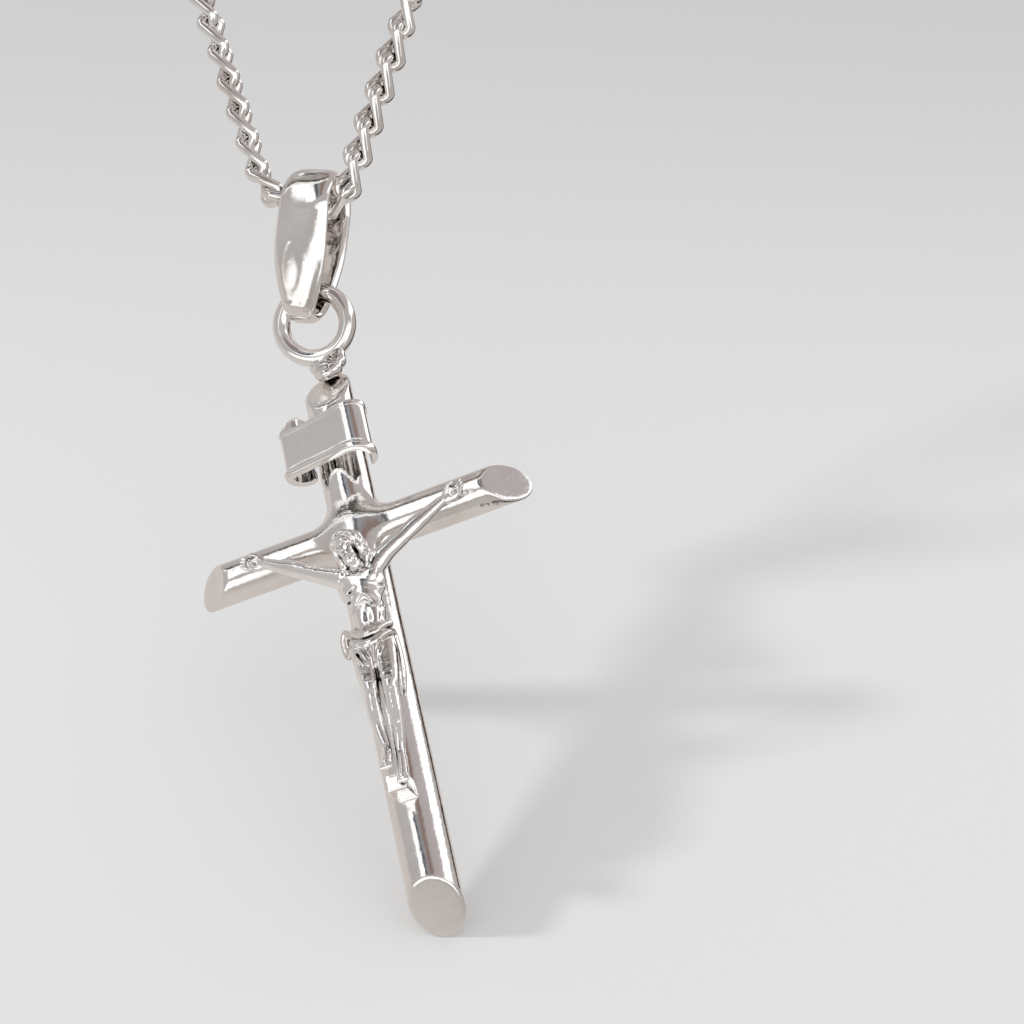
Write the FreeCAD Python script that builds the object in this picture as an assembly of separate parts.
import FreeCAD, Part
import math
import os

Vector = FreeCAD.Vector

# Silver crucifix pendant on a twisted curb chain.  Millimetres, +Z up, front of the cross towards -Y.
# Everything is drawn about the crossing of the two bars, then moved so that the middle of the line
# through the two end eyes, from which the chain hangs, is the origin.

# --- cross: two round bars whose ends are cut on a bevel that faces forward and outward
POST_RADIUS = 1.25
POST_ABOVE = 10.7
POST_BELOW = 20.6
POST_TOP_BEVEL = 48.0
POST_FOOT_BEVEL = 40.0
ARM_RADIUS = 1.06
ARM_REACH = 9.0
ARM_BEVEL = 45.0
RIM_ROUND = 0.16
CROSSING_FILLET = 0.9

# --- soldered ring at the head of the post
RING_WIRE_RADIUS = 0.47
RING_HOLE_RADIUS = 1.33
RING_LEAN = 22.0
RING_SETBACK = 0.25
RING_SEAT_GAP = 0.50
SOLDER_RADIUS = 0.72

# --- bail: a tapered, crowned loop of sheet that joins the ring to the chain
HANG_LEAN = 24.0
HANG_TILT = 26.0
BAIL_YAW = 3.0
BAIL_SIDE_SHIFT = 0.06
BAIL_WALL = 0.60
BAIL_CROWN = 0.22
BAIL_FLAT = 0.72
BAIL_SHOULDER = 0.55
BAIL_HEIGHT = 7.9
BAIL_TOP_WIDTH = 2.35
BAIL_MIDDLE_WIDTH = 2.85
BAIL_FOOT_WIDTH = 1.00
BAIL_FOOT_RADIUS = 0.62
BAIL_CHAIN_GAP = 0.32
BAIL_RING_GAP = 0.53

# --- curb chain: round wire links, each twisted end to end
LINK_WIRE_RADIUS = 0.265
LINK_HALF_WIDTH = 0.66
LINK_HALF_LENGTH = 1.17
LINK_TWIST = 58.0
LINK_PLAY = 0.04
LINK_BEND_PLAY = 0.245
CHAIN_V_TILT = -3.0
STRAND_ANGLE_LEFT = 20.5
STRAND_ANGLE_RIGHT = 19.5
SADDLE_BENDS_LEFT = (30.0, 54.0)
SADDLE_BENDS_RIGHT = (35.0,)
LINKS_PER_STRAND = 9
LINK_FACE_LEFT = 90.0
LINK_FACE_RIGHT = 62.0
END_FACE_LEFT = 135.0
END_FACE_RIGHT = 45.0
END_TURN_LINKS = 4

# --- end rings, clasp and the ring that the clasp closes on
END_RING_WIRE_RADIUS = 0.27
END_RING_HOLE_RADIUS = 1.00
EYE_BAR_RADIUS = 0.36
EYE_HOLE_RADIUS = 0.75
EYE_PLAY = 0.06
CLASP_THICKNESS = 1.5
CLASP_HALF_WIDTH = 2.0
CLASP_HALF_HEIGHT = 3.2
CLASP_RIM = 0.85
CLASP_SLOT = 0.72
LEVER_THICKNESS = 0.60
LEVER_PIN_RADIUS = 0.30
LEVER_PIN_PLAY = 0.03
THUMB_RADIUS = 0.34
KNUCKLE_WALL = 0.32
SPRING_THICKNESS = 0.12
SPRING_LENGTH = 0.44
SPRING_GAP = 0.06
SPRING_SIDE = 30.0

# --- title scroll: a ribbon waved in plan, rolled back at its left end and folded at its right
SCROLL_LOW = 3.75
SCROLL_HIGH = 6.35
SCROLL_CURL_HIGH = 7.5
SCROLL_THICKNESS = 0.34
SCROLL_BORDER = 0.34
SCROLL_BORDER_RISE = 0.10
SCROLL_PAD_RADIUS = 0.75

# --- figure and its foot rest
FIGURE_PEG_RADIUS = 0.30
FIGURE_PEG_LENGTH = 1.7
FOOT_REST_WIDTH = 1.35
FOOT_REST_DEPTH = 1.7
FOOT_REST_HEIGHT = 1.3


def along(origin, direction, distance):
    """Point at a distance from origin along a unit direction."""
    return origin + direction * distance


def turned(vector, axis, degrees):
    """Copy of a vector turned about an axis through the origin."""
    return FreeCAD.Rotation(axis, degrees).multVec(vector)


def limb(points, radii):
    """Tapered round limb: a ball at every joint and a cone between each pair."""
    pieces = [Part.makeSphere(radius, point) for point, radius in zip(points, radii)]
    for start, end, r_start, r_end in zip(points, points[1:], radii, radii[1:]):
        axis = end - start
        pieces.append(Part.makeCone(r_start, r_end, axis.Length, start, axis))
    return pieces


def fused(pieces):
    """One solid from overlapping pieces."""
    body = pieces[0].multiFuse(pieces[1:])
    return body.removeSplitter()


def torus(centre, normal, hole_radius, wire_radius):
    """Closed ring of round wire."""
    return Part.makeTorus(hole_radius + wire_radius, wire_radius, centre, normal)


def bevel_cutter(tip, outward, back, bevel):
    """Half-space block beyond a bevel plane that passes through the tip and faces forward."""
    normal = turned(outward, outward.cross(back), -bevel)
    size = 8.0 * POST_RADIUS
    block = Part.makeBox(size, size, size, Vector(-size / 2, -size / 2, 0))
    block.Placement = FreeCAD.Placement(tip, FreeCAD.Rotation(Vector(0, 0, 1), normal))
    return block


def bevelled_bar(radius, start, end, bevel_start, bevel_end):
    """Round bar between two back tips, each end cut by its own bevel."""
    back = Vector(0, 1, 0)
    axis = (end - start).normalize()
    bar = Part.makeCylinder(radius, (end - start).Length, start, axis)
    for tip, outward, bevel in ((start, axis * -1, bevel_start), (end, axis, bevel_end)):
        bar = bar.cut(bevel_cutter(along(tip, back, radius), outward, back, bevel))
    rims = [edge for edge in bar.Edges if isinstance(edge.Curve, Part.Ellipse)]
    return bar.makeFillet(RIM_ROUND, rims)


def make_bars():
    """Post and arms as one casting, with soft fillets where they cross."""
    up = Vector(0, 0, 1)
    side = Vector(1, 0, 0)
    post = bevelled_bar(POST_RADIUS, up * -POST_BELOW, up * POST_ABOVE, POST_FOOT_BEVEL, POST_TOP_BEVEL)
    arms = bevelled_bar(ARM_RADIUS, side * -ARM_REACH, side * ARM_REACH, ARM_BEVEL, ARM_BEVEL)
    bars = post.fuse(arms)
    near = POST_RADIUS + RIM_ROUND
    crossing = [edge for edge in bars.Edges
                if edge.BoundBox.DiagonalLength > ARM_RADIUS
                and max(abs(edge.BoundBox.XMin), abs(edge.BoundBox.XMax)) < near
                and max(abs(edge.BoundBox.ZMin), abs(edge.BoundBox.ZMax)) < near
                and not isinstance(edge.Curve, Part.Line)]
    return bars.makeFillet(CROSSING_FILLET, crossing)


def ring_frame():
    """Centre, plane normal and upward direction of the soldered ring."""
    side = Vector(1, 0, 0)
    rise = turned(Vector(0, 0, 1), side, RING_LEAN)
    normal = turned(Vector(0, 1, 0), side, RING_LEAN)
    foot = Vector(0, POST_RADIUS - RING_SETBACK, POST_ABOVE + RING_SEAT_GAP)
    centre = along(foot, rise, RING_HOLE_RADIUS + 2 * RING_WIRE_RADIUS)
    return centre, normal, rise


def hang_frame():
    """Side, back and up directions of the loaded bail, which leans forward and to the side."""
    lean = math.radians(HANG_LEAN)
    tilt = math.radians(HANG_TILT)
    up = Vector(math.sin(tilt) * math.cos(lean), -math.sin(lean), math.cos(tilt) * math.cos(lean))
    side = Vector(math.cos(tilt), 0, -math.sin(tilt))
    return side, up.cross(side), up


def chain_clearance():
    """Radius round the chain's axis that the twisted links sweep."""
    return LINK_HALF_WIDTH + LINK_WIRE_RADIUS


def bail_arcs():
    """Middle-line radii of the bail's head and foot arcs, and the height between their centres."""
    head = chain_clearance() + BAIL_CHAIN_GAP + BAIL_WALL / 2
    foot = BAIL_FOOT_RADIUS + BAIL_WALL / 2
    return head, foot, BAIL_HEIGHT - BAIL_WALL - head - foot


def bail_head_centre():
    """Centre of the bail's head arc, on the axis of the chain that runs through it."""
    centre, normal, rise = ring_frame()
    side, back, up = hang_frame()
    head, foot, between = bail_arcs()
    ring_top = along(centre, rise, RING_HOLE_RADIUS + RING_WIRE_RADIUS)
    foot_centre = along(ring_top, up, foot - RING_WIRE_RADIUS - BAIL_RING_GAP - BAIL_WALL / 2)
    return along(foot_centre, up, between)


def bail_width(share):
    """Width of the bail at a share of its height, from foot to head."""
    if share < 0.5:
        blend = math.sin(math.pi * share)
        return BAIL_FOOT_WIDTH + (BAIL_MIDDLE_WIDTH - BAIL_FOOT_WIDTH) * blend
    blend = math.sin(math.pi * (share - 0.5)) ** 2
    return BAIL_MIDDLE_WIDTH + (BAIL_TOP_WIDTH - BAIL_MIDDLE_WIDTH) * blend


def bail_section(point, outward, side, width):
    """Closed lens-shaped section: flat inside, crowned outside, with rounded edges."""
    half = width / 2
    inner = along(point, outward, -BAIL_WALL / 2)
    outer = along(point, outward, BAIL_WALL / 2)
    edge = along(point, outward, -BAIL_CROWN / 2)
    corners = [along(inner, side, -half * BAIL_FLAT), inner, along(inner, side, half * BAIL_FLAT),
               along(edge, side, half), along(outer, side, half * BAIL_SHOULDER),
               along(outer, side, -half * BAIL_SHOULDER), along(edge, side, -half)]
    curve = Part.BSplineCurve()
    curve.interpolate(corners, PeriodicFlag=True)
    return Part.Wire([curve.toShape()])


def make_bail():
    """Bail as two lofted limbs, front and back, that meet at head and foot."""
    side, back, up = hang_frame()
    side = turned(side, up, BAIL_YAW)
    back = turned(back, up, BAIL_YAW)
    head, foot, between = bail_arcs()
    top_centre = along(bail_head_centre(), side, BAIL_SIDE_SHIFT)
    slant = math.degrees(math.asin((head - foot) / between))
    limbs = []
    for way in (-1, 1):
        stations = []
        for angle in (0, 22, 45, 68, 90 + slant):
            stations.append((top_centre, head, angle))
        for angle in (90 + slant, 115, 138, 159, 180):
            stations.append((along(top_centre, up, -between), foot, angle))
        middle = []
        for share in (0.33, 0.67):
            centre = along(top_centre, up, -between * share)
            middle.append((centre, head + (foot - head) * share, 90 + slant))
        stations[5:5] = middle
        sections = []
        for centre, radius, angle in stations:
            turn = math.radians(angle)
            outward = up * math.cos(turn) + back * (way * math.sin(turn))
            point = along(centre, outward, radius)
            height = (point - top_centre).dot(up) + between + foot
            share = height / (between + foot + head)
            sections.append(bail_section(point, outward, side, bail_width(share)))
        limbs.append(Part.makeLoft(sections, True, False))
    return limbs[0].fuse(limbs[1])


def make_link():
    """One chain link about its own centre, its length along X, twisted end to end."""
    straight = LINK_HALF_LENGTH - LINK_HALF_WIDTH
    points = []
    steps = 10
    for end in (1, -1):
        for step in range(steps):
            turn = math.pi * (step / steps - 0.5)
            points.append((end * (straight + LINK_HALF_WIDTH * math.cos(turn)),
                           end * LINK_HALF_WIDTH * math.sin(turn)))
    path = []
    for length, across in points:
        twist = -math.radians(LINK_TWIST) * length / LINK_HALF_LENGTH
        path.append(Vector(length, -across * math.sin(twist), across * math.cos(twist)))
    curve = Part.BSplineCurve()
    curve.interpolate(path, PeriodicFlag=True)
    middle = (curve.FirstParameter + curve.LastParameter) / 2
    halves = []
    for first, last in ((curve.FirstParameter, middle), (middle, curve.LastParameter)):
        spine = Part.Wire([curve.toShape(first, last)])
        heading = curve.tangent(first)[0]
        section = Part.Wire([Part.makeCircle(LINK_WIRE_RADIUS, curve.value(first), heading)])
        halves.append(spine.makePipeShell([section], True, False))
    return halves[0].fuse(halves[1])


def chain_frame():
    """Axes of the plane in which the two strands spread."""
    side, back, up = hang_frame()
    up = turned(up, back, CHAIN_V_TILT)
    side = turned(side, back, CHAIN_V_TILT)
    return side, back, up


def chain_places():
    """Centre, heading and face angle of every link, from the left end to the right end."""
    side, back, up = chain_frame()

    def heading_at(way, degrees):
        angle = math.radians(degrees)
        return side * (way * math.cos(angle)) + up * math.sin(angle)

    def strand(way, bends, strand_angle):
        centre = bail_head_centre()
        angle = 0.0
        places = []
        for number in range(LINKS_PER_STRAND):
            target = bends[number] if number < len(bends) else 90.0 - strand_angle
            half_turn = math.radians(target - angle) / 2
            reach = LINK_HALF_LENGTH - (LINK_WIRE_RADIUS + LINK_PLAY / 2) / math.cos(half_turn)
            reach -= LINK_BEND_PLAY * half_turn
            joint = along(centre, heading_at(way, angle), reach)
            angle = target
            centre = along(joint, heading_at(way, angle), reach)
            places.append((centre, heading_at(way, angle)))
        return places

    left = strand(-1, SADDLE_BENDS_LEFT, STRAND_ANGLE_LEFT)
    right = strand(1, SADDLE_BENDS_RIGHT, STRAND_ANGLE_RIGHT)
    middle = (bail_head_centre(), side)
    return [(centre, heading * -1) for centre, heading in reversed(left)] + [middle] + right, back


def chain_links():
    """Every link as its own solid, and the two outermost joints of the chain."""
    places, back = chain_places()
    pattern = make_link()
    links = []
    last = len(places) - 1
    for number, (centre, heading) in enumerate(places):
        across = back.cross(heading)
        share = number / last
        face = LINK_FACE_LEFT + (LINK_FACE_RIGHT - LINK_FACE_LEFT) * share
        face += (END_FACE_LEFT - LINK_FACE_LEFT) * max(0.0, 1 - number / END_TURN_LINKS)
        face += (END_FACE_RIGHT - LINK_FACE_RIGHT) * max(0.0, 1 - (last - number) / END_TURN_LINKS)
        across = turned(across, heading, face)
        rotation = FreeCAD.Rotation(heading, Vector(), across, "XZY")
        link = pattern.copy()
        link.Placement = FreeCAD.Placement(centre, rotation)
        links.append(link)
    return links


def end_joint(place, way):
    """Middle of the end ring's wire inside the outer loop of an end link."""
    centre, heading = place
    reach = LINK_HALF_LENGTH - LINK_WIRE_RADIUS - 2 * LINK_PLAY - END_RING_WIRE_RADIUS
    return along(centre, heading, way * reach)


def end_stack(joint, up):
    """Centre of an end ring, and the middle of the eye's bar that it hangs from."""
    ring_radius = END_RING_HOLE_RADIUS + END_RING_WIRE_RADIUS
    ring_centre = along(joint, up, ring_radius)
    bar = along(ring_centre, up, END_RING_HOLE_RADIUS - EYE_PLAY - EYE_BAR_RADIUS)
    return ring_centre, bar


def eye_frame():
    """Left and right eye bars, and the frame in which the end pieces are drawn."""
    places, back = chain_places()
    side, back, up = chain_frame()
    left_ring, left_bar = end_stack(end_joint(places[0], -1), up)
    right_ring, right_bar = end_stack(end_joint(places[-1], 1), up)
    axis = (right_bar - left_bar).normalize()
    normal = up.cross(axis).normalize()
    rise = axis.cross(normal)
    return left_ring, left_bar, right_ring, right_bar, axis, normal, rise


def placed(shape, origin, axis, normal, rise):
    """Shape drawn in the XZ plane, set down in an eye's frame."""
    shape = shape.copy()
    frame = FreeCAD.Placement(origin, FreeCAD.Rotation(axis, normal, rise, "XZY"))
    shape.Placement = frame.multiply(shape.Placement)
    return shape


def plate(wire_outer, thickness):
    """Flat plate of the given outline in the XZ plane, centred on Y."""
    face = Part.Face(wire_outer)
    return face.extrude(Vector(0, thickness, 0))


def ellipse_plate(centre, radius_x, radius_z, thickness):
    """Elliptical plate in the XZ plane, its middle at Y = 0."""
    curve = Part.Ellipse(Vector(0, 0, 0), max(radius_x, radius_z), min(radius_x, radius_z))
    wire = Part.Wire([curve.toShape()])
    turn = FreeCAD.Rotation(Vector(1, 0, 0), 90)
    if radius_z > radius_x:
        turn = turn.multiply(FreeCAD.Rotation(Vector(0, 0, 1), 90))
    wire.Placement = FreeCAD.Placement(centre + Vector(0, -thickness / 2, 0), turn)
    return plate(wire, thickness)


def box_between(low, high):
    """Box from its lowest to its highest corner."""
    size = high - low
    return Part.makeBox(size.x, size.y, size.z, low)


def cylinder_y(centre, radius, length):
    """Cylinder along Y about a centre."""
    return Part.makeCylinder(radius, length, centre - Vector(0, length / 2, 0), Vector(0, 1, 0))


def clasp_pieces():
    """Clasp body, sprung lever, pivot pin and leaf spring about the middle of the eye bar."""
    eye = Vector(0, 0, EYE_HOLE_RADIUS + EYE_BAR_RADIUS)
    middle = eye + Vector(0, 0, EYE_HOLE_RADIUS + CLASP_HALF_HEIGHT)
    inner_x = CLASP_HALF_WIDTH - CLASP_RIM
    inner_z = CLASP_HALF_HEIGHT - CLASP_RIM
    gate_high = 0.62 * inner_z
    pin_z = -(inner_z + CLASP_RIM / 2) * 0.78
    pin_x = (inner_x + CLASP_RIM / 2) * math.sqrt(1 - 0.78 ** 2)
    pin = middle + Vector(pin_x, 0, pin_z)
    gate_low = pin_z + LEVER_PIN_RADIUS + 0.2
    knuckle = LEVER_PIN_RADIUS + KNUCKLE_WALL
    slot = knuckle + SPRING_THICKNESS + 3 * SPRING_GAP
    reach = 2 * CLASP_HALF_WIDTH

    body = ellipse_plate(middle, CLASP_HALF_WIDTH, CLASP_HALF_HEIGHT, CLASP_THICKNESS)
    body = body.fuse(torus(eye, Vector(0, 1, 0), EYE_HOLE_RADIUS, EYE_BAR_RADIUS))
    body = body.cut(ellipse_plate(middle, inner_x, inner_z, 2 * CLASP_THICKNESS))
    body = body.cut(cylinder_y(eye, EYE_HOLE_RADIUS, 2 * CLASP_THICKNESS))
    body = body.cut(box_between(middle + Vector(inner_x * 0.3, -CLASP_THICKNESS, gate_low),
                                middle + Vector(reach, CLASP_THICKNESS, gate_high)))
    body = body.cut(cylinder_y(pin, slot, CLASP_SLOT))
    body = body.cut(cylinder_y(pin, LEVER_PIN_RADIUS, 2 * CLASP_THICKNESS))

    arm = ellipse_plate(middle, CLASP_HALF_WIDTH - 0.08, CLASP_HALF_HEIGHT - 0.08, LEVER_THICKNESS)
    arm = arm.cut(ellipse_plate(middle, inner_x + 0.12, inner_z + 0.12, 2 * LEVER_THICKNESS))
    arm = arm.common(box_between(middle + Vector(pin_x, -CLASP_THICKNESS, pin_z),
                                 middle + Vector(reach, CLASP_THICKNESS, gate_high - 0.08)))
    thumb_place = middle + Vector(CLASP_HALF_WIDTH - 0.05, 0, gate_low * 0.35)
    thumb = cylinder_y(thumb_place, THUMB_RADIUS, LEVER_THICKNESS)
    lever = arm.fuse(cylinder_y(pin, knuckle, LEVER_THICKNESS)).fuse(thumb)
    lever = lever.cut(cylinder_y(pin, LEVER_PIN_RADIUS + LEVER_PIN_PLAY, CLASP_THICKNESS))

    pivot = cylinder_y(pin, LEVER_PIN_RADIUS, CLASP_THICKNESS)
    leaf_size = Vector(SPRING_THICKNESS, LEVER_THICKNESS, SPRING_LENGTH)
    leaf = box_between(leaf_size * -0.5, leaf_size * 0.5)
    away = turned(Vector(-1, 0, 0), Vector(0, 1, 0), -SPRING_SIDE)
    leaf_middle = along(pin, away, knuckle + SPRING_GAP + SPRING_THICKNESS / 2)
    leaf.Placement = FreeCAD.Placement(leaf_middle, FreeCAD.Rotation(Vector(0, 1, 0), -SPRING_SIDE))
    pieces = {"clasp_body": body, "clasp_lever": lever, "clasp_pin": pivot, "clasp_spring": leaf}
    return pieces, pin


def ribbon_plan():
    """Middle line of the title scroll seen from above: rolled end, wave, folded end."""
    points = [(-1.48, -0.62), (-1.80, -0.38), (-2.25, -0.55), (-2.42, -1.10), (-2.15, -1.58),
              (-1.55, -1.52), (-0.80, -1.66), (0.20, -1.92), (1.00, -2.20), (1.60, -2.14),
              (1.98, -1.75), (1.90, -1.15), (1.72, -0.72)]
    curve = Part.BSplineCurve()
    curve.interpolate([Vector(x, y, 0) for x, y in points])
    return curve


def ribbon(thickness, low, high):
    """Upright ribbon of the scroll's plan between two heights."""
    middle = ribbon_plan()
    steps = 40
    span = middle.LastParameter - middle.FirstParameter
    sides = ([], [])
    for step in range(steps + 1):
        place = middle.FirstParameter + span * step / steps
        across = middle.tangent(place)[0].cross(Vector(0, 0, 1))
        for points, way in zip(sides, (-1, 1)):
            points.append(along(middle.value(place), across, way * thickness / 2))
    edges = []
    for points in sides:
        curve = Part.BSplineCurve()
        curve.interpolate(points)
        edges.append(curve.toShape())
    edges.append(Part.makeLine(sides[0][0], sides[1][0]))
    edges.append(Part.makeLine(sides[0][-1], sides[1][-1]))
    face = Part.Face(Part.Wire(Part.__sortEdges__(edges)))
    face.translate(Vector(0, 0, low))
    return face.extrude(Vector(0, 0, high - low))


def make_scroll(bars):
    """Title scroll with raised borders, its roll rising behind, on a pad soldered to the post."""
    roll_side = -POST_RADIUS + 0.2
    rise = SCROLL_CURL_HIGH - SCROLL_HIGH
    reach = 3 * POST_RADIUS
    roll = ribbon(SCROLL_THICKNESS, SCROLL_LOW, SCROLL_CURL_HIGH)
    roll = roll.common(box_between(Vector(-reach, -reach, SCROLL_LOW),
                                   Vector(roll_side, reach, SCROLL_CURL_HIGH)))
    slope = Part.makeBox(4 * reach, 4 * reach, reach, Vector(-2 * reach, -2 * reach, 0))
    lean = math.degrees(math.atan2(rise, POST_RADIUS))
    slope.Placement = FreeCAD.Placement(Vector(0, -1.60, SCROLL_HIGH),
                                        FreeCAD.Rotation(Vector(1, 0, 0), lean))
    roll = roll.cut(slope)
    body = ribbon(SCROLL_THICKNESS, SCROLL_LOW, SCROLL_HIGH).fuse(roll)
    thick = SCROLL_THICKNESS + 2 * SCROLL_BORDER_RISE
    body = body.fuse(ribbon(thick, SCROLL_LOW, SCROLL_LOW + SCROLL_BORDER))
    height = (SCROLL_LOW + SCROLL_HIGH) / 2
    pad_front = 1.75
    pad = Part.makeCylinder(SCROLL_PAD_RADIUS, pad_front, Vector(0, -pad_front, height), Vector(0, 1, 0))
    return body.fuse(pad).cut(bars)


def loft_of_ellipses(stations):
    """Solid through level ellipses, each given by its height, middle and half sizes."""
    wires = []
    for height, x, y, half_x, half_y in stations:
        major = max(half_x, half_y)
        minor = min(half_x, half_y)
        wire = Part.Wire([Part.Ellipse(Vector(0, 0, 0), major, minor).toShape()])
        turn = 0 if half_x >= half_y else 90
        wire.Placement = FreeCAD.Placement(Vector(x, y, height), FreeCAD.Rotation(Vector(0, 0, 1), turn))
        wires.append(wire)
    return Part.makeLoft(wires, True, False)


def figure_pegs():
    """Two short pegs that locate the figure on the post."""
    pegs = []
    for height in (-4.3, -14.1):
        start = Vector(0, -POST_RADIUS - FIGURE_PEG_LENGTH / 2, height)
        pegs.append(Part.makeCylinder(FIGURE_PEG_RADIUS, FIGURE_PEG_LENGTH, start, Vector(0, 1, 0)))
    return Part.Compound(pegs)


def make_figure(bars, pegs):
    """Cast figure with its foot rest, flat against the bars behind."""
    pieces = [loft_of_ellipses([(-2.72, 0.20, -2.05, 0.80, 0.34), (-3.20, 0.22, -2.10, 1.16, 0.56),
                                (-4.20, 0.30, -2.20, 0.98, 0.72), (-5.30, 0.38, -2.12, 0.78, 0.60),
                                (-6.20, 0.38, -2.12, 0.80, 0.62), (-7.40, 0.26, -2.12, 0.96, 0.70)])]
    pieces.append(loft_of_ellipses([(-6.25, 0.28, -2.12, 0.92, 0.78), (-7.00, 0.25, -2.14, 1.10, 0.90),
                                    (-8.40, 0.22, -2.20, 1.02, 0.92)]))
    pieces += limb([Vector(-0.75, -2.20, -6.45), Vector(-1.10, -2.05, -6.75), Vector(-1.02, -1.95, -7.60)],
                   [0.30, 0.34, 0.16])
    pieces += limb([Vector(0.22, -2.15, -3.10), Vector(0.20, -2.55, -2.60), Vector(0.14, -3.00, -2.30)],
                   [0.42, 0.50, 0.82])
    pieces += limb([Vector(0.12, -3.02, -2.10), Vector(0.20, -3.25, -3.10)], [0.84, 0.40])
    pieces += limb([Vector(0.55, -2.70, -2.10), Vector(0.85, -2.45, -3.00)], [0.62, 0.30])
    pieces += limb([Vector(1.05, -2.12, -3.15), Vector(2.00, -2.10, -2.62), Vector(3.20, -2.00, -1.90),
                    Vector(4.55, -1.68, -0.98), Vector(5.45, -1.50, -0.45)],
                   [0.50, 0.40, 0.33, 0.24, 0.36])
    pieces += limb([Vector(-0.65, -2.15, -3.30), Vector(-1.70, -2.12, -2.70), Vector(-2.95, -2.02, -1.90),
                    Vector(-4.20, -1.72, -1.00), Vector(-5.05, -1.55, -0.50)],
                   [0.48, 0.40, 0.33, 0.24, 0.36])
    pieces += limb([Vector(-0.12, -2.15, -7.90), Vector(-0.02, -3.02, -10.00), Vector(0.08, -2.65, -11.20),
                    Vector(0.10, -2.45, -12.40), Vector(-0.10, -2.95, -13.50)],
                   [0.66, 0.50, 0.44, 0.27, 0.30])
    pieces += limb([Vector(0.62, -2.10, -7.90), Vector(0.86, -2.95, -10.10), Vector(0.70, -2.55, -11.30),
                    Vector(0.42, -2.30, -12.60), Vector(0.42, -2.85, -14.60)],
                   [0.66, 0.50, 0.44, 0.28, 0.30])
    rest_top = -13.55
    rest_side = 0.1
    rest = box_between(Vector(rest_side - FOOT_REST_WIDTH / 2, -POST_RADIUS - FOOT_REST_DEPTH,
                              rest_top - FOOT_REST_HEIGHT),
                       Vector(rest_side + FOOT_REST_WIDTH / 2, 0, rest_top))
    wedge = Part.makeBox(4, 4, 4, Vector(-2, -4, -4))
    wedge.Placement = FreeCAD.Placement(Vector(0, -POST_RADIUS - 0.35, rest_top - FOOT_REST_HEIGHT),
                                        FreeCAD.Rotation(Vector(1, 0, 0), -38))
    pieces.append(rest.cut(wedge))
    return fused(pieces).cut(bars).cut(pegs)


def make_solder(bars, ring):
    """Solder that fills the angle between the post's head and the ring."""
    centre, normal, rise = ring_frame()
    seat = along(centre, rise, -RING_HOLE_RADIUS - 2 * RING_WIRE_RADIUS)
    blob = Part.makeSphere(SOLDER_RADIUS, seat + Vector(0.10, -0.02, -0.30))
    return blob.cut(bars).cut(ring)


def main():
    os.makedirs("parts", exist_ok=True)
    bars = make_bars()
    centre, normal, rise = ring_frame()
    ring = torus(centre, normal, RING_HOLE_RADIUS, RING_WIRE_RADIUS)
    pegs = figure_pegs()
    left_ring, left_bar, right_ring, right_bar, axis, across, upright = eye_frame()

    nodes = {"cross": bars.cut(pegs), "figure": make_figure(bars, pegs), "figure_pegs": pegs}
    nodes["title_scroll"] = make_scroll(bars)
    nodes["ring"] = ring
    nodes["ring_solder"] = make_solder(bars, ring)
    nodes["bail"] = make_bail()
    for number, link in enumerate(chain_links(), 1):
        nodes["chain_link_%02d" % number] = link
    for name, ring_centre in (("left", left_ring), ("right", right_ring)):
        nodes["end_ring_" + name] = torus(ring_centre, axis, END_RING_HOLE_RADIUS, END_RING_WIRE_RADIUS)
    pieces, pin = clasp_pieces()
    for name, shape in pieces.items():
        nodes[name] = placed(shape, left_bar, axis, across, upright)
    catch = along(right_bar, upright, EYE_HOLE_RADIUS + EYE_BAR_RADIUS)
    nodes["catch_ring"] = torus(catch, across, EYE_HOLE_RADIUS, EYE_BAR_RADIUS)

    origin = (left_bar + right_bar) / 2
    for name, shape in nodes.items():
        shape.translate(origin * -1)
        shape.exportStep("parts/%s.step" % name)
        print(name, len(shape.Solids), shape.isValid(), round(shape.Volume, 3))


main()
